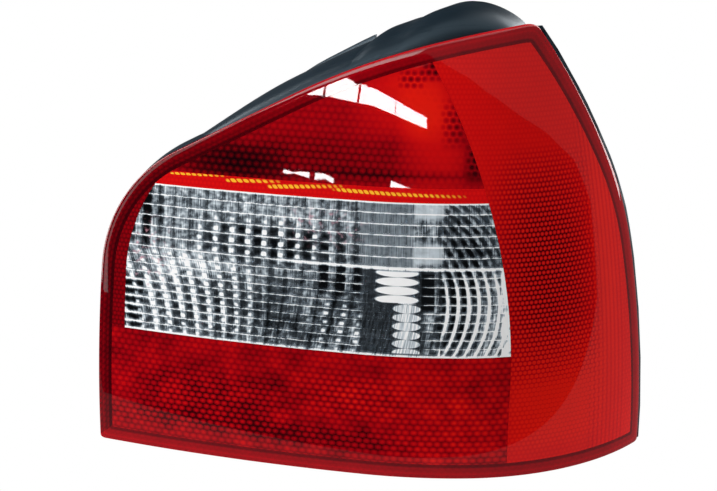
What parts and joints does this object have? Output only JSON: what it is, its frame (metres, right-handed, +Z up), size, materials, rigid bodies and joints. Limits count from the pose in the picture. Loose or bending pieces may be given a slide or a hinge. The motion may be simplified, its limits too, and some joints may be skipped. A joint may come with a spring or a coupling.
{
  "type": "rear lamp cluster",
  "caption": "Right-hand rear lamp cluster with a red lens that wraps round the corner, a clear fluted window, a dark housing with a raised roll and hump, a bulb carrier and mounting studs.",
  "frame": {"origin": "centre of the upper mounting stud where it leaves its seat on the housing's back", "axes": "+Y along the studs into the car body, +Z up, +X outboard to the car's right side; the lens faces -Y"},
  "size_m": [0.2686, 0.1438, 0.2427],
  "materials": {
    "red_acrylic": "polished red acrylic with moulded optics inside",
    "clear_acrylic": "polished clear acrylic with moulded flutes inside",
    "sealant": "dark sealing compound",
    "housing_plastic": "satin dark blue-grey moulding with a fine grain",
    "metallised_plastic": "moulded plastic with a bright vacuum-metallised skin",
    "bulb_glass": "clear blown glass",
    "amber_glass": "amber lacquered glass",
    "bulb_metal": "nickel-plated bayonet cap",
    "carrier_plastic": "natural off-white moulding",
    "foam": "closed-cell foam",
    "contact_brass": "stamped brass strip",
    "zinc_steel": "zinc-plated steel",
    "vent_rubber": "soft black rubber"
  },
  "bodies": {
    "root": {"red_lens": "red_acrylic", "clear_lens": "clear_acrylic", "lens_seal": "sealant", "housing": "housing_plastic", "reflector": "metallised_plastic", "brake_bulb_glass": "bulb_glass", "brake_bulb_cap": "bulb_metal", "tail_bulb_glass": "bulb_glass", "tail_bulb_cap": "bulb_metal", "turn_bulb_glass": "amber_glass", "turn_bulb_cap": "bulb_metal", "reverse_bulb_glass": "bulb_glass", "reverse_bulb_cap": "bulb_metal", "fog_bulb_glass": "bulb_glass", "fog_bulb_cap": "bulb_metal", "bulb_carrier": "carrier_plastic", "carrier_seal": "foam", "earth_strip": "contact_brass", "brake_strip": "contact_brass", "tail_strip": "contact_brass", "turn_strip": "contact_brass", "reverse_strip": "contact_brass", "fog_strip": "contact_brass", "mounting_studs": "zinc_steel", "body_gasket": "foam", "vent_cap": "vent_rubber"}
  },
  "joints": []
}
